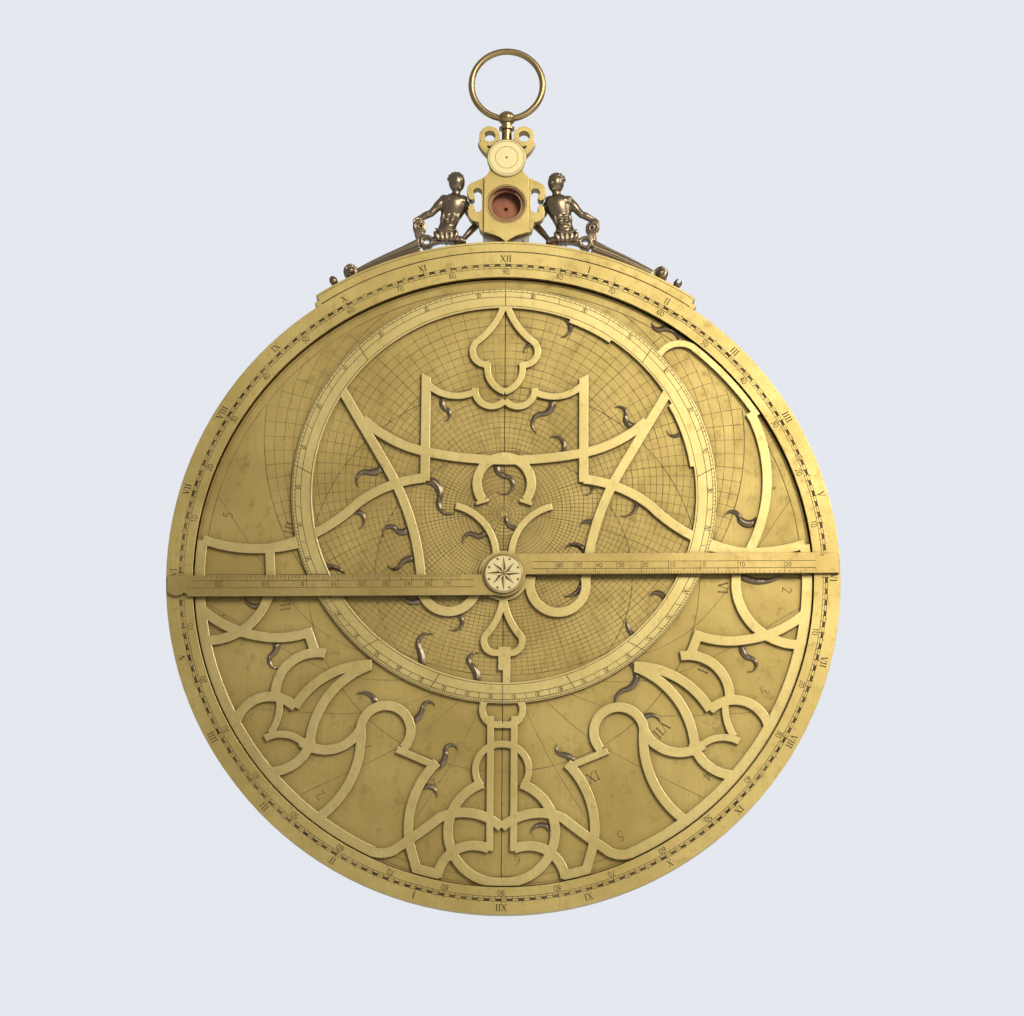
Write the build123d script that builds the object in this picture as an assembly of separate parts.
"""A planispheric astrolabe that hangs from its ring, in millimetres.

The front faces -Y and the disc is upright in the XZ plane. The shapes are drawn about the disc's centre and
moved down on export, so that the origin is the hang point at the inner top of the ring. A level is a distance
towards the front, counted from the axis of the swivel.
"""

import os
from math import asin, cos, pi, radians, sin, sqrt

from build123d import *

# The mater and what lies in it
mater_radius = 150.0
limb_width = 11.8
mater_back_level = -3.4
back_plate_thickness = 2.4
limb_height = 6.4
tympan_thickness = 1.1
tympan_count = 3
tympan_edge_clearance = 0.5
tympan_lug_width = 6.0
tympan_lug_reach = 2.2
lug_clearance = 0.2
turning_gap = 0.2

# The rete, a star map whose outermost circle is the winter tropic; a share is a part of that circle's radius
rete_thickness = 1.7
rete_edge_clearance = 0.7
tropic_inset = 4.27
obliquity = radians(23.44)
rim_strap_share = 0.0345
ecliptic_share = 0.0698
ecliptic_step_share = 0.012
rete_hub_share = 0.084
strap_share = 0.0315
narrow_strap_share = 0.0225
thin_strap_share = 0.012
stem_share = 0.0405
pointer_share = 0.0203
pointer_thickness = 1.5

# The rule, the axis bolt and what it clamps
rule_thickness = 1.8
rule_arm_width = 9.3
rule_end_clearance = 0.7
rule_hub_radius = 9.8
rule_rest_angle = 0.7
bolt_radius = 4.0
bolt_running_clearance = 0.05
head_radius = 8.7
head_thickness = 2.0
head_edge = 0.5
washer_radius = 9.0
washer_thickness = 1.0
nut_radius = 6.0
nut_height = 5.0
wing_span = 30.0
wing_thickness = 2.4
wing_height = 9.0
wing_lift = 0.6
bolt_end = 1.5

# The alidade and its folding sights
alidade_thickness = 2.6
alidade_arm_width = 8.0
alidade_end_clearance = 1.0
alidade_hub_radius = 14.0
sight_inset = 35.0
sight_width = 17.0
sight_height = 24.0
sight_thickness = 1.6
sight_corner = 5.0
sight_pad_length = 12.0
pinhole_radius = 0.7
peephole_radius = 1.6
knuckle_radius = 2.1
knuckle_half_width = 4.6
knuckle_gap = 0.3
hinge_pin_radius = 0.9
hinge_pin_clearance = 0.04

# The crest on the rim
crest_height = 5.0
crest_half_angle = 33.8
crest_lip_height = 2.2
crest_lip_angle = 0.9
crest_dowel_radius = 1.1
crest_dowel_length = 8.0
crest_dowel_angles = (-27.0, -12.0, 12.0, 27.0)

# The throne plate, its panel and the compass, with heights above the top of the crest
throne_height = 49.6
throne_half_thickness = 3.3
panel_thickness = 1.2
panel_half_width = 10.2
neck_half_width = 7.5
wing_hole_x = 13.3
wing_hole_height = 20.5
wing_hole_length = 11.6
wing_hole_width = 4.2
wing_mouth = 5.4
wing_mouth_height = 19.4
wing_tip_x = 15.9
wing_tip_radius = 1.5
loop_radius = 4.8
loop_hole_radius = 2.65
loop_x = 7.9
loop_rise = 1.8
loop_tail_width = 2.6
shank_seat_half_width = 3.6
boss_radius = 9.0
boss_drop = 9.3
boss_thickness = 2.4
boss_edge = 0.5
boss_backing = 0.7
chamber_radius = 5.6
chamber_depth = 6.0
compass_height = 18.3
compass_radius = 8.75
compass_depth = 7.6
compass_lip = 0.5
compass_wall = 0.85
compass_step_depth = 3.0
compass_inner_radius = 6.7
compass_floor = 1.2
compass_ring_clearance = 0.05
compass_ring_width = 1.1
compass_ring_thickness = 0.9
compass_ring_gap = 84.0
compass_ring_turn = 97.0
pivot_radius = 0.9
pivot_tip_radius = 0.15
pivot_height = 2.4
bracket_half_width = 10.6
bracket_height = 9.0
bracket_hole_radius = 0.8
bracket_hole_x = 7.6
bracket_hole_height = 1.7
tenon_half_width = 5.0
tenon_depth = 3.4
screw_radius = 0.9
screw_head_radius = 1.7
screw_head_thickness = 0.9
screw_reach = 2.6
screw_x = 5.4
screw_height = 6.4

# The swivel knob and the suspension ring
ring_wire_radius = 1.5
ring_mean_radius = 16.5
ring_rise = 27.9
knob_radius = 4.0
knob_half_height = 3.4
knob_hole_clearance = 0.15
knob_groove_radius = 2.4
knob_groove_height = 1.2
flange_radius = 3.6
flange_thickness = 1.1
shank_radius = 1.6
collar_radius = 2.3
collar_gap = 0.3
shank_clearance = 0.06
shank_nut_radius = 2.5
shank_nut_height = 2.8
shank_end = 0.6

# The cast figures, with heights above the top of the crest
hip_place = (27.6, 5.2)
waist_place = (25.8, 12.2)
chest_place = (23.8, 19.4)
neck_place = (23.2, 24.2)
hip_half_width = 4.9
waist_half_width = 4.4
chest_half_width = 5.9
neck_half_width_of_figure = 2.2
body_depth = 0.72
shoulder_radius = 2.3
elbow_radius = 1.7
wrist_radius = 1.2
hand_radius = 1.9
hand_height = 0.4
torso_level = 0.3
head_level = 0.8
outer_shoulder = (28.6, 0.4, 21.4)
outer_elbow = (34.4, 1.2, 14.6)
outer_wrist = (41.0, 0.8, 11.2)
inner_shoulder = (19.8, -1.6, 20.6)
inner_elbow = (13.4, -5.4, 11.4)
inner_wrist = (20.2, -1.4, 2.6)
head_height = 29.8
head_x = 22.8
head_half_width = 3.8
head_half_height = 4.9
figure_depth = 12.0
tail_half_thickness = 2.2
tail_start_height = 7.4
tail_middle_height = 4.2
tail_end_height = 3.0
tail_root = 1.0
tail_start_x = 38.5
volute_inset_angle = 7.2
volute_radius = 3.3
volute_boss_radius = 1.8
small_volute_place = (39.6, 8.0)
small_volute_radius = 3.2
small_volute_hole = 0.8
eye_place = (36.4, 1.0)
eye_radius = 3.2
eye_hole_radius = 1.5
apron_width = 3.4
figure_dowel_radius = 0.9
figure_dowel_length = 3.6
figure_dowel_x = (22.0, 56.0)
finial_radius = 1.9
finial_height = 5.6
finial_neck_radius = 0.9
finial_slot = 1.4
finial_slot_depth = 2.6
finial_inset_angle = 4.0

# Worked out from the sizes above
floor_level = mater_back_level + back_plate_thickness
limb_level = floor_level + limb_height
limb_inner_radius = mater_radius - limb_width
tympan_radius = limb_inner_radius - tympan_edge_clearance
tympan_top_level = floor_level + tympan_count * tympan_thickness
rete_back_level = tympan_top_level + turning_gap
rete_level = rete_back_level + rete_thickness
rete_radius = limb_inner_radius - rete_edge_clearance
tropic_radius = rete_radius - tropic_inset
map_scale = tropic_radius / 133.23
equator_radius = tropic_radius * sqrt((1 - sin(obliquity)) / (1 + sin(obliquity)))
cancer_radius = equator_radius ** 2 / tropic_radius
ecliptic_radius = (tropic_radius + cancer_radius) / 2
ecliptic_z = (tropic_radius - cancer_radius) / 2
ecliptic_inner_radius = ecliptic_radius - ecliptic_share * tropic_radius
rule_back_level = limb_level + turning_gap
rule_level = rule_back_level + rule_thickness
head_back_level = rule_level + turning_gap
alidade_level = mater_back_level - turning_gap
alidade_back_level = alidade_level - alidade_thickness
washer_level = alidade_back_level - turning_gap
washer_back_level = washer_level - washer_thickness
nut_back_level = washer_back_level - nut_height
hinge_level = alidade_back_level - knuckle_radius
sight_distance = mater_radius - alidade_end_clearance - sight_inset
crest_radius = mater_radius + crest_height
boss_height = throne_height - boss_drop
loop_height = throne_height + loop_rise
ring_centre_height = throne_height + ring_rise
throne_scale = throne_height / 49.6
panel_level = throne_half_thickness + panel_thickness
compass_bowl_level = panel_level - compass_lip
compass_step_level = panel_level - compass_step_depth
compass_floor_level = panel_level - compass_depth
compass_bore_radius = compass_radius - compass_wall
ring_sag = ring_mean_radius - sqrt(ring_mean_radius ** 2 - knob_radius ** 2)
knob_hole_radius = ring_wire_radius + ring_sag / 2 + knob_hole_clearance
knob_height = ring_centre_height - ring_mean_radius + ring_sag / 2
flange_height = knob_height - knob_half_height - knob_groove_height - flange_thickness
shank_low_height = boss_height - shank_nut_height / 2 - shank_end
hang_z = crest_radius + ring_centre_height + ring_mean_radius - ring_wire_radius


def front(level):
    """Drawing plane that faces the viewer at a level."""
    return Plane.XZ.offset(level)


def plate(sketch, back, face):
    """Flat piece of one outline between two levels."""
    return extrude(front(back) * sketch, amount=face - back, dir=(0, -1, 0))


def disc(radius, back, face, x=0.0, z=0.0):
    """Round flat piece about an axis along Y."""
    return plate(Pos(x, z) * Circle(radius), back, face)


def point_at(x, level, z):
    """Point in space from its place on the front and its level."""
    return Vector(x, -level, z)


def polar(radius, angle):
    """Point of the disc at an angle in degrees, counted anticlockwise from the right."""
    return (radius * cos(radians(angle)), radius * sin(radians(angle)))


def sector(inner, outer, start, end):
    """Outline of a band between two radii and two angles."""
    middle = (start + end) / 2
    outer_arc = ThreePointArc(polar(outer, start), polar(outer, middle), polar(outer, end))
    inner_arc = ThreePointArc(polar(inner, end), polar(inner, middle), polar(inner, start))
    sides = [Line(outer_arc @ 1, inner_arc @ 0), Line(inner_arc @ 1, outer_arc @ 0)]
    return make_face([outer_arc, sides[0], inner_arc, sides[1]])


def on_map(points):
    """Points of the star map at the real size; they are drawn for a tropic of 133.23."""
    return [Vector(*point) * map_scale for point in points]


def rim_point(inset, angle):
    """Point of the star map at a distance inside the rete's edge."""
    return polar((rete_radius - inset) / map_scale, angle)


def both_sides(faces):
    """Outlines together with their mirror images about the vertical."""
    return faces + [mirror(face, about=Plane.YZ) for face in faces]


def arc_strap(start, through, end, share=strap_share):
    """Strap of even width along the arc through three points."""
    width = share * tropic_radius
    points = on_map([start, through, end])
    arc = ThreePointArc(*points)
    centre = arc.arc_center
    radius = arc.radius
    outer = [centre + (p - centre) * ((radius + width / 2) / radius) for p in points]
    inner = [centre + (p - centre) * ((radius - width / 2) / radius) for p in points]
    outer_arc = ThreePointArc(*outer)
    inner_arc = ThreePointArc(*reversed(inner))
    return make_face([outer_arc, Line(outer[2], inner[2]), inner_arc, Line(inner[0], outer[0])])


def bar_strap(start, end, share=strap_share):
    """Straight strap of even width between two points."""
    width = share * tropic_radius
    first, last = on_map([start, end])
    run = last - first
    side = Vector(-run.Y, run.X).normalized() * (width / 2)
    corners = [first + side, last + side, last - side, first - side]
    return make_face(Polyline(*corners, close=True))


def flame(points, share=pointer_share):
    """Curved tongue along three or five points, full at its root and sharp at its tip."""
    width = share * tropic_radius
    last = len(points) - 1
    spine = on_map(points)
    left = []
    right = []
    for index in range(last):
        run = spine[index + 1] - spine[max(index - 1, 0)]
        side = Vector(-run.Y, run.X).normalized() * (width / 2 * (1 - (index / last) ** 2))
        left.append(spine[index] + side)
        right.append(spine[index] - side)
    left.append(spine[last])
    right.append(spine[last])
    edges = [Line(right[0], left[0])]
    for index in range(0, last, 2):
        edges.append(ThreePointArc(*left[index:index + 3]))
        edges.append(ThreePointArc(*right[index:index + 3]))
    return make_face(edges)


# The mater

def mater_back():
    """Back plate of the mater with the hole for the axis bolt."""
    plain = disc(mater_radius, mater_back_level, floor_level)
    return plain - disc(bolt_radius, mater_back_level, floor_level)


def tympan_outline():
    """Tympan with the lug that keeps it from turning and its centre hole."""
    lug_radius = tympan_radius + tympan_lug_reach
    lug = Pos(0, -lug_radius / 2) * Rectangle(tympan_lug_width, lug_radius)
    lug &= Circle(lug_radius)
    return Circle(tympan_radius) + lug - Circle(bolt_radius + bolt_running_clearance)


def limb():
    """Raised ring of the mater, with the pocket that takes the tympans' lugs."""
    ring = plate(Circle(mater_radius) - Circle(limb_inner_radius), floor_level, limb_level)
    reach = tympan_radius + tympan_lug_reach + lug_clearance
    pocket = Pos(0, -reach + limb_width / 2) * Rectangle(tympan_lug_width + 2 * lug_clearance, limb_width)
    return ring - plate(pocket, floor_level, tympan_top_level + lug_clearance) - crest_dowel_bores()


def tympan(index):
    """One of the stacked latitude plates, counted from the front."""
    back = tympan_top_level - (index + 1) * tympan_thickness
    return plate(tympan_outline(), back, back + tympan_thickness)


# The rete

def ecliptic_ring():
    """Eccentric zodiac ring with the two raised steps of its inner edge."""
    band = Circle(ecliptic_radius) - Circle(ecliptic_inner_radius)
    stepped_inner = ecliptic_inner_radius - ecliptic_step_share * tropic_radius
    steps = [
        sector(stepped_inner, ecliptic_radius - 1, 8.5, 29.0),
        sector(stepped_inner, ecliptic_radius - 1, 56.0, 70.0),
    ]
    return Pos(0, ecliptic_z) * (Sketch() + [band] + steps)


def upper_strapwork():
    """Straps inside the ecliptic ring above the rule, for the right side."""
    tulip = [
        arc_strap((1.0, 124.5), (5.4, 115.6), (12.6, 108.2), narrow_strap_share),
        arc_strap((12.6, 108.2), (13.4, 99.6), (7.2, 97.4), narrow_strap_share),
        arc_strap((7.6, 98.4), (6.8, 90.4), (0.0, 84.6), narrow_strap_share),
        arc_strap((0.0, 80.6), (8.4, 78.2), (13.4, 86.4), narrow_strap_share),
        arc_strap((13.4, 84.6), (24.0, 82.6), (35.0, 88.0), narrow_strap_share),
    ]
    lyre = [
        bar_strap((35.6, 91.0), (35.6, 43.0)),
        make_face(Polyline(*on_map([(33.5, 90.9), (37.7, 93.2), (37.7, 90.9)]), close=True)),
        arc_strap((0.0, 52.9), (18.0, 53.8), (35.0, 56.4)),
        arc_strap((34.0, 56.2), (50.0, 61.6), (64.0, 71.6)),
        bar_strap((73.2, 84.4), (51.6, 47.6)),
        arc_strap((52.0, 48.2), (42.4, 27.0), (36.6, -2.0)),
        arc_strap((35.6, 44.4), (51.0, 40.8), (66.0, 32.2)),
        arc_strap((65.6, 32.5), (83.0, 19.4), (105.0, 11.6)),
    ]
    head_loop = [
        arc_strap((9.6, 34.4), (12.2, 42.4), (0.0, 54.4)),
        arc_strap((3.4, 8.0), (8.6, 23.6), (21.6, 31.8), narrow_strap_share),
        bar_strap((7.0, 34.6), (12.6, 32.8), thin_strap_share),
    ]
    return tulip + lyre + head_loop


def lower_strapwork():
    """Straps inside the ecliptic ring below the rule, for the right side."""
    return [
        arc_strap((12.4, 0.0), (23.6, -16.4), (36.2, 0.0)),
        arc_strap((0.0, -9.0), (3.2, -20.4), (8.0, -27.4), narrow_strap_share),
        arc_strap((7.8, -27.0), (7.4, -32.8), (0.0, -33.6), narrow_strap_share),
    ]


def outer_strapwork():
    """Straps between the ecliptic ring and the rim, for the right side."""
    rim = sector(rete_radius - rim_strap_share * tropic_radius, rete_radius, -65.6, 6.4)
    cross = [
        arc_strap((134.4, 15.4), (113.0, 11.4), (91.0, 14.2)),
        bar_strap((104.4, 11.0), (103.4, -4.0)),
        arc_strap((103.4, -3.6), (109.0, -19.2), (131.0, -30.2)),
        arc_strap((135.4, -14.8), (121.0, -24.4), (105.0, -28.4)),
        arc_strap((106.0, -28.4), (95.0, -28.4), (85.4, -26.0)),
        bar_strap((87.0, -24.6), (82.4, -37.0)),
    ]
    leaves = [
        arc_strap((78.6, -35.6), (92.8, -38.8), (100.2, -54.4)),
        arc_strap((98.4, -56.0), (98.8, -64.0), (102.0, -71.4), narrow_strap_share),
        arc_strap((58.0, -40.4), (77.0, -45.2), (91.6, -59.6)),
        arc_strap((91.4, -59.8), (106.6, -55.6), (117.4, -73.4)),
        arc_strap((58.6, -40.8), (76.0, -53.4), (84.6, -75.0)),
        arc_strap((84.0, -74.4), (90.8, -84.6), (104.8, -88.2)),
        arc_strap((62.4, -69.0), (74.4, -78.2), (88.4, -75.0)),
        arc_strap((87.6, -75.4), (95.6, -71.8), (104.4, -73.6), narrow_strap_share),
    ]
    horseshoe = [
        arc_strap((43.6, -77.6), (44.0, -61.4), (62.4, -69.8)),
        arc_strap((62.3, -68.6), (66.0, -91.0), (80.6, -108.6)),
        bar_strap((46.4, -78.0), (29.6, -85.0), narrow_strap_share),
    ]
    return [rim] + cross + leaves + horseshoe


def foot_strapwork():
    """Straps round the bottom of the rete, for the right side."""
    inset = strap_share * tropic_radius / 2
    return [
        arc_strap((28.6, -83.6), (39.4, -102.0), (40.0, -120.0)),
        bar_strap((40.4, -118.4), (36.4, -132.4)),
        arc_strap(rim_point(inset, -74.6), rim_point(inset, -76.6), rim_point(inset, -78.6)),
        arc_strap((28.0, -134.0), (19.2, -121.6), (5.4, -121.4)),
        arc_strap((0.0, -112.0), (13.4, -105.8), (27.0, -107.8)),
        arc_strap((26.4, -107.4), (36.4, -115.0), (47.0, -122.2)),
        arc_strap((46.0, -121.8), (51.4, -123.6), (57.4, -122.6)),
        arc_strap((0.0, -75.4), (11.0, -82.6), (9.0, -94.0), narrow_strap_share),
        arc_strap((8.4, -92.8), (22.8, -108.6), (0.0, -136.0)),
        bar_strap((5.2, -63.0), (5.2, -122.4), narrow_strap_share),
        arc_strap((7.6, -56.0), (6.6, -65.2), (0.0, -66.6), narrow_strap_share),
    ]


def right_wing():
    """Wing and crescent beside the limb, which only the right side has."""
    inset = narrow_strap_share * tropic_radius / 2
    return [
        sector(rete_radius - narrow_strap_share * tropic_radius, rete_radius, 34.4, 51.0),
        arc_strap(rim_point(inset, 50.0), (77.0, 107.6), (69.0, 101.0), narrow_strap_share),
        bar_strap((114.4, 76.4), (109.4, 73.4), narrow_strap_share),
        arc_strap((111.2, 75.0), (118.0, 45.6), (109.0, 11.0)),
    ]


def rete_outline():
    """Whole outline of the rete, without the star pointers."""
    half = upper_strapwork() + lower_strapwork() + outer_strapwork() + foot_strapwork()
    stem = [
        bar_strap((0.6, -32.0), (0.6, -42.6), stem_share),
        bar_strap((1.6, -42.0), (1.6, ecliptic_z - ecliptic_inner_radius - 1), stem_share * 0.6),
    ]
    whole = Sketch() + [ecliptic_ring()] + both_sides(half) + right_wing() + stem
    whole += Circle(rete_hub_share * tropic_radius)
    return whole & Circle(rete_radius)


def rete():
    """Pierced star map that turns over the tympan."""
    outline = rete_outline() - Circle(bolt_radius + bolt_running_clearance)
    return plate(outline, rete_back_level, rete_level)


def pointer_outlines():
    """Outlines of the star pointers, each from its root on a strap to its star."""
    inside_upper = [
        flame([(26.0, 120.4), (29.6, 115.4), (25.2, 110.6)]),
        flame([(14.8, 102.4), (11.6, 107.2), (8.6, 103.0)], 0.0165),
        flame([(-27.0, 82.6), (-28.0, 78.8), (-25.8, 76.2), (-24.8, 73.4), (-27.4, 71.0)]),
        flame([(20.4, 82.6), (21.4, 78.4), (17.0, 74.8), (12.4, 70.6), (14.6, 66.0)], 0.0240),
        flame([(24.2, 55.6), (26.6, 61.6), (20.2, 63.8)], 0.0180),
        flame([(60.0, 69.4), (55.8, 70.4), (54.6, 74.2), (53.4, 77.8), (49.4, 77.8)], 0.0210),
        flame([(75.8, 82.6), (79.4, 74.0), (79.6, 69.0), (77.0, 64.9), (73.2, 67.8)]),
        flame([(-1.0, 54.6), (-3.2, 50.4), (0.3, 45.8), (3.9, 40.8), (-3.0, 38.6)], 0.0240),
        flame([(36.8, 43.4), (39.5, 40.8), (35.8, 37.6)], 0.0150),
        flame([(54.4, 39.4), (59.4, 33.8), (52.4, 28.0)], 0.0218),
        flame([(40.4, 19.0), (38.2, 25.4), (33.6, 22.8)], 0.0173),
        flame([(36.6, 8.6), (33.0, 14.5), (27.0, 12.8)], 0.0188),
        flame([(5.6, 22.0), (1.4, 24.6), (1.8, 29.4)], 0.0150),
        flame([(-53.4, 51.6), (-57.2, 47.6), (-61.0, 47.2), (-65.6, 45.6), (-65.0, 40.2)], 0.0240),
        flame([(-34.0, 43.6), (-29.6, 40.6), (-29.2, 34.4), (-27.2, 29.2), (-22.0, 28.6)], 0.0255),
        flame([(-69.6, 28.2), (-63.2, 27.4), (-64.8, 21.2)], 0.0188),
        flame([(-42.4, 24.0), (-44.6, 19.9), (-48.4, 21.4), (-52.4, 21.9), (-53.6, 17.4)], 0.0225),
        flame([(-38.6, 7.4), (-43.4, 7.2), (-46.2, 4.6), (-48.6, 3.0), (-51.8, 4.8)], 0.0210),
        flame([(-86.0, 0.0), (-74.4, 3.2), (-70.6, 0.6)], 0.0180),
        flame([(-8.2, 24.4), (-9.8, 18.6), (-13.2, 18.8), (-16.8, 18.9), (-18.0, 14.8)], 0.0210),
    ]
    inside_lower = [
        flame([(-34.4, -7.0), (-41.2, -12.0), (-45.6, -9.0)], 0.0210),
        flame([(-21.2, -17.2), (-18.2, -21.4), (-23.6, -24.2)], 0.0180),
        flame([(-35.4, -41.4), (-36.2, -35.4), (-37.6, -31.4), (-35.8, -26.9), (-30.8, -26.6)], 0.0225),
        flame([(-11.2, -48.4), (-12.2, -42.4), (-14.6, -39.4), (-14.4, -35.8), (-10.8, -35.0)], 0.0225),
        flame([(72.0, -11.4), (68.2, -6.8), (64.6, -9.0)], 0.0180),
        flame([(60.2, -27.0), (55.8, -23.6), (55.2, -18.4)], 0.0165),
        flame([(35.4, -2.0), (32.8, -6.8), (26.8, -8.8)], 0.0195),
    ]
    outside = [
        flame([(79.4, 111.0), (73.0, 115.4), (70.0, 114.6), (67.8, 115.4), (66.8, 118.6)], 0.0225),
        flame([(113.2, 26.4), (108.8, 24.8), (105.4, 27.2), (102.6, 30.3), (98.6, 27.6)], 0.0255),
        flame([(-101.6, -28.8), (-100.4, -33.4), (-102.8, -36.6), (-102.6, -40.8), (-98.6, -42.2)], 0.0225),
        flame([(107.0, -28.6), (106.5, -33.2), (109.6, -36.2), (112.2, -39.4), (108.2, -42.0)], 0.0225),
        flame([(56.4, -38.0), (59.4, -44.6), (54.8, -50.4), (50.4, -53.6), (50.0, -58.6)], 0.0240),
        flame([(-57.8, -63.0), (-57.8, -54.2), (-64.6, -53.6)], 0.0195),
        flame([(-41.4, -66.4), (-36.5, -62.6), (-35.2, -59.6), (-33.2, -56.8), (-29.8, -58.6)], 0.0210),
        flame([(-29.4, -86.0), (-25.4, -82.2), (-24.9, -79.2), (-22.8, -75.7), (-19.6, -78.4)], 0.0210),
        flame([(-35.8, -95.4), (-30.4, -94.6), (-28.6, -99.2)], 0.0180),
        flame([(61.6, -67.6), (65.2, -61.7), (69.6, -65.2)], 0.0188),
        flame([(32.0, -85.4), (29.8, -80.9), (27.0, -79.5), (24.2, -78.2), (24.2, -74.8)], 0.0210),
        flame([(22.0, -115.0), (16.4, -110.6), (12.6, -114.8)], 0.0188),
        flame([(-104.6, -11.4), (-110.4, -14.4), (-115.4, -10.0)], 0.0210),
        flame([(103.6, 2.4), (118.0, -1.2), (124.6, 1.4)], 0.0180),
    ]
    return inside_upper + inside_lower + outside


def star_pointers():
    """Group of tongues let into the edges of the straps."""
    straps = rete_outline()
    tongues = []
    for outline in pointer_outlines():
        tongues.append((outline - straps) & Circle(rete_radius))
    face = rete_back_level + pointer_thickness
    return [largest(plate(tongue, rete_back_level, face)) for tongue in tongues]


def largest(shape):
    """Biggest solid of a shape that a cut may have split."""
    return max(shape.solids(), key=lambda solid: solid.volume)


# The rule and the parts of the axis

def rule():
    """Double index whose two fiducial edges lie on one diameter."""
    end = mater_radius - rule_end_clearance
    cusp = end - 9.0
    top = rule_arm_width
    edges = [
        Line((0, 0), (end, 0)),
        Line((end, 0), (end, top * 0.72)),
        ThreePointArc((end, top * 0.72), (end - 2.6, top * 0.94), (cusp + 1.6, top * 0.82)),
        ThreePointArc((cusp + 1.6, top * 0.82), (cusp + 0.3, top * 0.88), (cusp, top)),
        Line((cusp, top), (0, top)),
        Line((0, top), (0, 0)),
    ]
    arm = make_face(edges)
    outline = Sketch() + [arm, Rot(0, 0, 180) * arm, Circle(rule_hub_radius)]
    outline = Rot(0, 0, rule_rest_angle) * outline
    outline -= Circle(bolt_radius + bolt_running_clearance)
    return plate(outline, rule_back_level, rule_level)


def axis_bolt():
    """Bolt with a round head in front and a shank through the whole stack."""
    shank = disc(bolt_radius, nut_back_level - bolt_end, head_back_level)
    head = disc(head_radius, head_back_level, head_back_level + head_thickness)
    head = chamfer(head.edges().group_by(Axis.Y)[0], head_edge)
    return shank + head


def back_washer():
    """Washer between the alidade and the wing nut."""
    ring = Circle(washer_radius) - Circle(bolt_radius)
    return plate(ring, washer_back_level, washer_level)


def wing_nut():
    """Nut with two rounded wings."""
    hub = disc(nut_radius, nut_back_level, washer_back_level)
    middle = washer_back_level - wing_lift - wing_height / 2
    blade = extrude(Pos(0, -middle) * SlotOverall(wing_span, wing_height), wing_thickness / 2, both=True)
    bore = disc(bolt_radius, middle - wing_height, washer_back_level)
    return hub + blade - bore


# The alidade and its sights

def alidade():
    """Sighting bar of the back with the ears of two hinges."""
    end = mater_radius - alidade_end_clearance
    shoulder = end - alidade_arm_width
    arm = Polyline((0, 0), (end, 0), (shoulder, alidade_arm_width), (0, alidade_arm_width), close=True)
    arm = make_face(arm)
    pads = [Pos(side * sight_distance, 0) * Rectangle(sight_pad_length, sight_width) for side in (-1, 1)]
    outline = Sketch() + [arm, Rot(0, 0, 180) * arm, Circle(alidade_hub_radius)] + pads
    outline -= Circle(bolt_radius + bolt_running_clearance)
    bar = plate(outline, alidade_back_level, alidade_level)
    for side in (-1, 1):
        bar += hinge_ears(side)
    return bar


def hinge_block(side, low, high):
    """Rounded block about a hinge axis, between two heights along it."""
    outline = Circle(knuckle_radius) + Pos(0, -knuckle_radius / 2) * Rectangle(2 * knuckle_radius, knuckle_radius)
    place = Plane(origin=point_at(side * sight_distance, hinge_level, low), x_dir=(1, 0, 0), z_dir=(0, 0, 1))
    return extrude(place * outline, amount=high - low)


def hinge_bore(side, radius, half_length):
    """Cylinder along a hinge axis."""
    place = Plane(origin=point_at(side * sight_distance, hinge_level, -half_length))
    return extrude(place * Circle(radius), amount=2 * half_length)


def hinge_ears(side):
    """Two ears that hold a sight's pin."""
    inner = knuckle_half_width + knuckle_gap
    outer = sight_width / 2
    ears = hinge_block(side, inner, outer) + hinge_block(side, -outer, -inner)
    return ears - hinge_bore(side, hinge_pin_radius, sight_width)


def sight(side):
    """Folding vane with a pinhole and a wider hole, on its hinge knuckle."""
    top = hinge_level - sight_height
    shoulder = hinge_level - knuckle_radius - knuckle_gap
    blade = Pos(0, (shoulder + top) / 2) * Rectangle(sight_width, shoulder - top)
    blade = fillet(blade.vertices().group_by(Axis.Y)[0], sight_corner)
    neck = Pos(0, (shoulder + hinge_level) / 2) * Rectangle(2 * knuckle_half_width, shoulder - hinge_level)
    holes = Pos(0, top + 7.0) * Circle(pinhole_radius) + Pos(0, top + 15.0) * Circle(peephole_radius)
    place = Plane(origin=(side * sight_distance - sight_thickness / 2, 0, 0), x_dir=(0, 0, 1), z_dir=(1, 0, 0))
    vane = extrude(place * (blade + neck - holes), amount=sight_thickness)
    barrel = hinge_bore(side, knuckle_radius, knuckle_half_width)
    return vane + barrel - hinge_bore(side, hinge_pin_radius + hinge_pin_clearance, sight_width)


def sight_pins():
    """Hinge pins of the two sights, fast in the ears."""
    return [hinge_bore(side, hinge_pin_radius, sight_width / 2) for side in (-1, 1)]


# The crest

def radial_rods(radius, length, middle, angles, level):
    """Rods that point away from the disc's centre, at angles from the vertical."""
    rods = []
    for angle in angles:
        x, z = polar(middle - length / 2, 90 - angle)
        run_x, run_z = polar(1.0, 90 - angle)
        place = Plane(origin=point_at(x, level, z), z_dir=(run_x, 0, run_z))
        rods.append(extrude(place * Circle(radius), amount=length))
    return rods


def crest_dowels():
    """Dowels half in the limb and half in the crest."""
    level = (floor_level + limb_level) / 2
    return radial_rods(crest_dowel_radius, crest_dowel_length, mater_radius, crest_dowel_angles, level)


def crest_dowel_bores():
    """Solid to cut where the crest's dowels go."""
    return Part() + crest_dowels()


def tenon():
    """Foot of the throne's bracket, which goes into the crest."""
    outline = Pos(0, crest_radius - tenon_depth / 2) * Rectangle(2 * tenon_half_width, tenon_depth)
    return plate(outline, -throne_half_thickness, 0.0)


def throne_base():
    """Crest on top of the rim, with a low lip at each end."""
    start = 90 - crest_half_angle
    end = 90 + crest_half_angle
    band = sector(mater_radius, crest_radius, start, end)
    lip = sector(mater_radius, mater_radius + crest_lip_height, start - crest_lip_angle, end + crest_lip_angle)
    crest = plate(band + lip, mater_back_level, limb_level)
    return crest - crest_dowel_bores() - figure_dowel_bores() - tenon()


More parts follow.
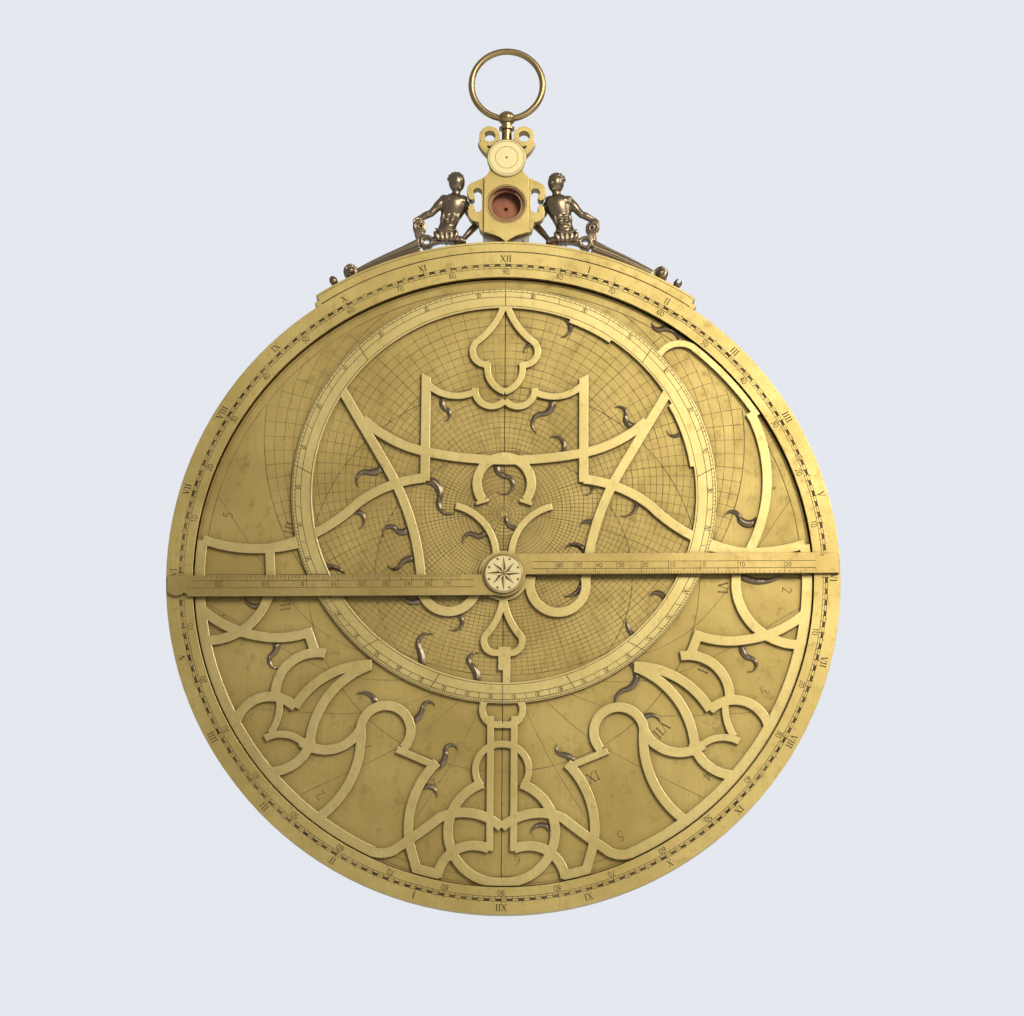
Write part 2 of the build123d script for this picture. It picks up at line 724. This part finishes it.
def figure_dowels():
    """Dowels that hold the castings on the crest."""
    angles = []
    for x in figure_dowel_x:
        angle = asin(x / crest_radius) * 180 / pi
        angles += [angle, -angle]
    return radial_rods(figure_dowel_radius, figure_dowel_length, crest_radius, angles, 0.0)


def figure_dowel_bores():
    """Solid to cut where the castings' dowels go."""
    return Part() + figure_dowels()


# The throne

def on_plate(points):
    """Points of the throne plate at the real size; they are drawn for a height of 49.6."""
    return [(x * throne_scale, z * throne_scale) for x, z in points]


def wing_outline():
    """Right half of the plate with its C scroll, about the top of the crest."""
    top, neck, waist, bow, hollow, shoulder = on_plate(
        [(7.5, 40.3), (7.5, 35.4), (8.6, 32.8), (11.0, 31.0), (11.0, 31.0), (14.8, 29.2)]
    )
    brow, upper, lower, belly, chin = on_plate([(17.8, 26.6), (17.4, 22.4), (17.4, 16.2), (17.2, 12.8), (12.6, 10.1)])
    notch, curl, heel, side, point = on_plate([(12.4, 8.3), (11.6, 6.0), (9.2, 4.7), (5.0, 3.4), (2.4, 2.0)])
    half = make_face([
        Line((0, 0), (0, top[1])),
        Line((0, top[1]), top),
        Line(top, neck),
        ThreePointArc(neck, waist, bow),
        Line(bow, shoulder),
        ThreePointArc(shoulder, brow, upper),
        Line(upper, lower),
        ThreePointArc(lower, belly, chin),
        Line(chin, notch),
        ThreePointArc(notch, curl, heel),
        Line(heel, side),
        ThreePointArc(side, point, (0, 0)),
    ])
    hole = Pos(wing_hole_x, wing_hole_height) * Rot(0, 0, 90) * SlotOverall(wing_hole_length, wing_hole_width)
    mouth = Pos(2 * wing_hole_x, wing_mouth_height) * Rectangle(2 * wing_hole_x, wing_mouth)
    tips = []
    for height in (wing_mouth_height + wing_mouth / 2, wing_mouth_height - wing_mouth / 2):
        tips.append(Pos(wing_tip_x, height) * Circle(wing_tip_radius))
    return half - hole - mouth + tips


def throne_outline():
    """Outline of the throne plate with its C scrolls and scroll loops, about the top of the crest."""
    loop = Pos(loop_x, loop_height) * (Circle(loop_radius) - Circle(loop_hole_radius))
    low = loop_height - loop_radius
    outer_start = (loop_x + loop_radius - 0.6, low + 2.2)
    inner_start = (loop_x - loop_radius + 0.9, low + 2.4)
    outer_tail = tail_band(outer_start, (loop_x + 2.7, low - 0.4), (loop_x - 0.3, low - 3.6), loop_tail_width)
    inner_tail = tail_band(inner_start, (loop_x - 3.5, low), (loop_x - 3.3, low - 2.6), loop_tail_width)
    seat = Pos(0, (boss_height + throne_height) / 2) * Rectangle(
        2 * shank_seat_half_width, throne_height - boss_height
    )
    backing = Pos(0, boss_height) * Circle(boss_radius - boss_backing)
    return Sketch() + both_sides([wing_outline(), loop, outer_tail, inner_tail]) + seat + backing


def tail_band(start, through, end, width):
    """Short curved band of even width."""
    return trace(ThreePointArc(start, through, end), line_width=width)


def on_throne(sketch):
    """Sketch drawn about the top of the crest, moved there."""
    return Pos(0, crest_radius) * sketch


def bracket_outline():
    """Outline of the foot plate under the throne."""
    upright = Pos(0, bracket_height / 2) * Rectangle(2 * bracket_half_width, bracket_height)
    return on_throne(upright) - Circle(crest_radius)


def throne_bracket():
    """Foot plate behind the throne's point, with its tenon and two open holes."""
    body = plate(bracket_outline(), -throne_half_thickness, 0.0) + tenon()
    for side in (-1, 1):
        x = side * bracket_hole_x
        body -= disc(bracket_hole_radius, -throne_half_thickness, 0.0, x, crest_radius + bracket_hole_height)
    return body - screw_bores()


def throne_screws():
    """Two screws from behind through the bracket into the throne."""
    screws = []
    for side in (-1, 1):
        place = (side * screw_x, crest_radius + screw_height)
        shank = disc(screw_radius, -throne_half_thickness, screw_reach, *place)
        head_back = -throne_half_thickness - screw_head_thickness
        screws.append(shank + disc(screw_head_radius, head_back, -throne_half_thickness, *place))
    return screws


def screw_bores():
    """Solid to cut where the throne's screws go."""
    return Part() + throne_screws()


def compass_bore(back):
    """Round hole for the compass bowl, from a level to the front."""
    return disc(compass_radius, back, panel_level, 0.0, crest_radius + compass_height)


def throne_body():
    """Throne plate with the compass bore, the swivel's chamber and the bore for its shank."""
    body = plate(on_throne(throne_outline()), -throne_half_thickness, throne_half_thickness)
    body -= compass_bore(-throne_half_thickness)
    body -= plate(bracket_outline(), -throne_half_thickness, 0.0)
    back = throne_half_thickness - chamber_depth
    body -= disc(chamber_radius, back, throne_half_thickness, 0.0, crest_radius + boss_height)
    body -= rod(shank_radius + shank_clearance, boss_height, throne_height + loop_radius)
    return body - screw_bores()


def rod(radius, low, high):
    """Upright rod on the swivel axis between two heights above the crest."""
    return extrude(Pos(0, 0, crest_radius + low) * Circle(radius), amount=high - low)


def throne_panel():
    """Raised front panel, cut out round the boss and the compass."""
    strip = Pos(0, boss_height / 2) * Rectangle(2 * panel_half_width, boss_height)
    outline = throne_outline() & strip
    outline -= Pos(0, boss_height) * Circle(boss_radius)
    outline -= Pos(0, compass_height) * Circle(compass_radius)
    return plate(on_throne(outline), throne_half_thickness, panel_level)


def swivel_cover():
    """Turned boss that closes the swivel's chamber."""
    face = throne_half_thickness + boss_thickness
    boss = disc(boss_radius, throne_half_thickness, face, 0.0, crest_radius + boss_height)
    return chamfer(boss.edges().group_by(Axis.Y)[0], boss_edge)


def compass_bowl():
    """Cup of the compass with a step for its retaining ring."""
    place = (0.0, crest_radius + compass_height)
    cup = disc(compass_radius, compass_floor_level - compass_floor, compass_bowl_level, *place)
    cup -= disc(compass_bore_radius, compass_step_level, compass_bowl_level, *place)
    return cup - disc(compass_inner_radius, compass_floor_level, compass_step_level, *place)


def compass_ring():
    """Springy open ring that once held the compass glass."""
    outer = compass_bore_radius - compass_ring_clearance
    start = compass_ring_turn + compass_ring_gap / 2
    end = compass_ring_turn - compass_ring_gap / 2 + 360
    outline = sector(outer - compass_ring_width, outer, start, end)
    outline = on_throne(Pos(0, compass_height) * outline)
    return plate(outline, compass_step_level, compass_step_level + compass_ring_thickness)


def compass_pivot():
    """Pointed pin on which the needle turned."""
    pin = Cone(pivot_radius, pivot_tip_radius, pivot_height, align=(Align.CENTER, Align.CENTER, Align.MIN))
    return front(compass_floor_level) * Pos(0, crest_radius + compass_height) * pin


# The suspension

def swivel_knob():
    """Ball with a cross hole for the ring, a flange and the shank that turns in the throne."""
    flange_top = flange_height + flange_thickness
    stalk = rod(shank_radius, shank_low_height, flange_height)
    stalk += rod(collar_radius, throne_height + collar_gap, flange_height)
    stalk += rod(flange_radius, flange_height, flange_top)
    stalk += rod(knob_groove_radius, flange_top, knob_height)
    ball = egg(point_at(0.0, 0.0, crest_radius + knob_height), knob_radius, knob_half_height)
    hole = Plane(origin=point_at(-knob_radius * 1.5, 0.0, crest_radius + knob_height), z_dir=(1, 0, 0))
    return stalk + ball - extrude(hole * Circle(knob_hole_radius), amount=knob_radius * 3)


def swivel_nut():
    """Round nut on the end of the shank, inside the chamber."""
    low = boss_height - shank_nut_height / 2
    high = boss_height + shank_nut_height / 2
    return rod(shank_nut_radius, low, high) - rod(shank_radius, low, high)


def suspension_ring():
    """Wire ring that passes through the knob."""
    return Pos(0, 0, crest_radius + ring_centre_height) * Rot(90, 0, 0) * Torus(ring_mean_radius, ring_wire_radius)


# The castings

def on_casting(side, place):
    """Point of a figure from x, level and height above the crest, on one side of the throne."""
    x, level, height = place
    return point_at(side * x, level, crest_radius + height)


def tapered(start, start_radius, end, end_radius):
    """Tapered limb between two joints, round at its end."""
    run = end - start
    align = (Align.CENTER, Align.CENTER, Align.MIN)
    cone = Plane(origin=start, z_dir=run) * Cone(start_radius, end_radius, run.length, align=align)
    return cone + Pos(*end) * Sphere(end_radius)


def egg(centre, half_width, half_height):
    """Upright egg about a centre, with a small flat at each pole."""
    arc = EllipticalCenterArc((0, 0), half_width, half_height, start_angle=-80, arc_size=160)
    low = (arc @ 0).Y
    high = (arc @ 1).Y
    ends = [Line((0, low), arc @ 0), Line(arc @ 1, (0, high)), Line((0, high), (0, low))]
    return Pos(*centre) * revolve(Plane.XZ * make_face([arc] + ends), axis=Axis.Z)


def torso(side):
    """Leaning body from the hips to the base of the neck."""
    places = [hip_place, waist_place, chest_place, neck_place]
    widths = [hip_half_width, waist_half_width, chest_half_width, neck_half_width_of_figure]
    centres = [on_casting(side, (x, torso_level, height)) for x, height in places]
    sections = []
    for index, centre in enumerate(centres):
        run = centres[min(index + 1, 3)] - centres[max(index - 1, 0)]
        place = Plane(origin=centre, x_dir=run.cross(Vector(0, 1, 0)), z_dir=run)
        sections.append(place * Ellipse(widths[index], widths[index] * body_depth))
    return loft(sections)


def arm(side, shoulder, elbow, wrist):
    """Upper arm and forearm through three joints."""
    joints = [on_casting(side, place) for place in (shoulder, elbow, wrist)]
    upper = tapered(joints[0], shoulder_radius, joints[1], elbow_radius)
    lower = tapered(joints[1], elbow_radius, joints[2], wrist_radius)
    return upper + lower + Pos(*joints[0]) * Sphere(shoulder_radius)


def tail_outline(volute_angle):
    """Tail that narrows along the crest towards its volute, for the right side."""
    start_angle = asin(tail_start_x / crest_radius) * 180 / pi
    middle_angle = (start_angle + volute_angle) / 2
    top = ThreePointArc(
        polar(crest_radius + tail_start_height, 90 - start_angle),
        polar(crest_radius + tail_middle_height, 90 - middle_angle),
        polar(crest_radius + tail_end_height, 90 - volute_angle),
    )
    root = ThreePointArc(
        polar(crest_radius - tail_root, 90 - volute_angle),
        polar(crest_radius - tail_root, 90 - middle_angle),
        polar(crest_radius - tail_root, 90 - start_angle),
    )
    return make_face([top, Line(top @ 1, root @ 0), root, Line(root @ 1, top @ 0)])


def scroll_outline(volute_angle):
    """Flat outline of the scrolls that carry a figure, for the right side."""
    apron = tail_band((20.6, 1.8), (30.0, 2.4), (38.6, -1.4), apron_width)
    eye = Pos(*eye_place) * Circle(eye_radius)
    stalk = tail_band((37.0, 3.4), (39.4, 3.6), (40.4, 5.8), apron_width)
    small = Pos(*small_volute_place) * Circle(small_volute_radius)
    end = Pos(*polar(crest_radius + volute_radius, 90 - volute_angle)) * Circle(volute_radius)
    outline = Sketch() + [tail_outline(volute_angle), end, on_throne(Sketch() + [apron, eye, stalk, small])]
    outline -= on_throne(Pos(*eye_place) * Circle(eye_hole_radius))
    return outline - on_throne(Pos(*small_volute_place) * Circle(small_volute_hole))


def figure(side):
    """Casting of a half figure that leans on a scroll, its tail along the crest."""
    volute_angle = crest_half_angle - volute_inset_angle
    outline = scroll_outline(volute_angle)
    if side < 0:
        outline = mirror(outline, about=Plane.YZ)
    scrolls = plate(outline, -tail_half_thickness, tail_half_thickness)
    end_x, end_z = polar(crest_radius + volute_radius, 90 - volute_angle)
    boss = Pos(*point_at(side * end_x, tail_half_thickness, end_z)) * Sphere(volute_boss_radius)
    arms = arm(side, outer_shoulder, outer_elbow, outer_wrist) + arm(side, inner_shoulder, inner_elbow, inner_wrist)
    hand = Pos(*on_casting(side, (figure_dowel_x[0], 0.0, hand_height))) * Sphere(hand_radius)
    neck_foot = on_casting(side, (neck_place[0], torso_level, neck_place[1] - 1.0))
    chin = on_casting(side, (head_x, head_level, head_height - head_half_height / 2))
    neck = tapered(neck_foot, neck_half_width_of_figure, chin, neck_half_width_of_figure * 0.8)
    head = egg(on_casting(side, (head_x, head_level, head_height)), head_half_width, head_half_height)
    whole = torso(side) + arms + hand + neck + head + scrolls + boss
    whole -= disc(crest_radius, -figure_depth, figure_depth)
    whole -= throne_body()
    whole -= figure_dowel_bores()
    return largest(whole)


def finial(side):
    """Small bud on the crest; the right one is slotted."""
    angle = side * (crest_half_angle - finial_inset_angle)
    profile = make_face([
        Line((0, 0), (finial_neck_radius, 0)),
        Line((finial_neck_radius, 0), (finial_neck_radius, 1.0)),
        ThreePointArc((finial_neck_radius, 1.0), (finial_radius, 3.0), (0.5, finial_height)),
        Line((0.5, finial_height), (0, finial_height)),
        Line((0, finial_height), (0, 0)),
    ])
    bud = revolve(Plane.XZ * profile, axis=Axis.Z)
    if side > 0:
        slot = Pos(0, 0, finial_height - finial_slot_depth / 2) * Box(finial_slot, finial_radius * 3, finial_slot_depth)
        bud -= slot
    return Rot(0, angle, 0) * Pos(0, 0, crest_radius) * bud


def build():
    """Every piece by its name; a list is a group of separate solids."""
    parts = {
        "suspension_ring": suspension_ring(),
        "swivel_knob": swivel_knob(),
        "swivel_nut": swivel_nut(),
        "throne_body": throne_body(),
        "throne_panel": throne_panel(),
        "swivel_cover": swivel_cover(),
        "compass_bowl": compass_bowl(),
        "compass_ring": compass_ring(),
        "compass_pivot": compass_pivot(),
        "throne_bracket": throne_bracket(),
        "throne_screws": throne_screws(),
        "throne_base": throne_base(),
        "crest_dowels": crest_dowels(),
        "figure_dowels": figure_dowels(),
        "figure_left": figure(-1),
        "figure_right": figure(1),
        "finial_left": finial(-1),
        "finial_right": finial(1),
        "limb": limb(),
        "mater_back": mater_back(),
        "rete": rete(),
        "star_pointers": star_pointers(),
        "rule": rule(),
        "axis_bolt": axis_bolt(),
        "alidade": alidade(),
        "sight_east": sight(1),
        "sight_west": sight(-1),
        "sight_pins": sight_pins(),
        "back_washer": back_washer(),
        "wing_nut": wing_nut(),
    }
    for index in range(tympan_count):
        parts[f"tympan_{index + 1}"] = tympan(index)
    return parts


def main():
    """Write each piece to its own file, about the hang point."""
    os.makedirs("parts", exist_ok=True)
    for name, piece in build().items():
        solids = []
        for shape in piece if isinstance(piece, list) else [piece]:
            solids += shape.solids()
        moved = [Pos(0, 0, -hang_z) * solid for solid in solids]
        export_step(moved[0] if len(moved) == 1 else Compound(children=moved), f"parts/{name}.step")


main()
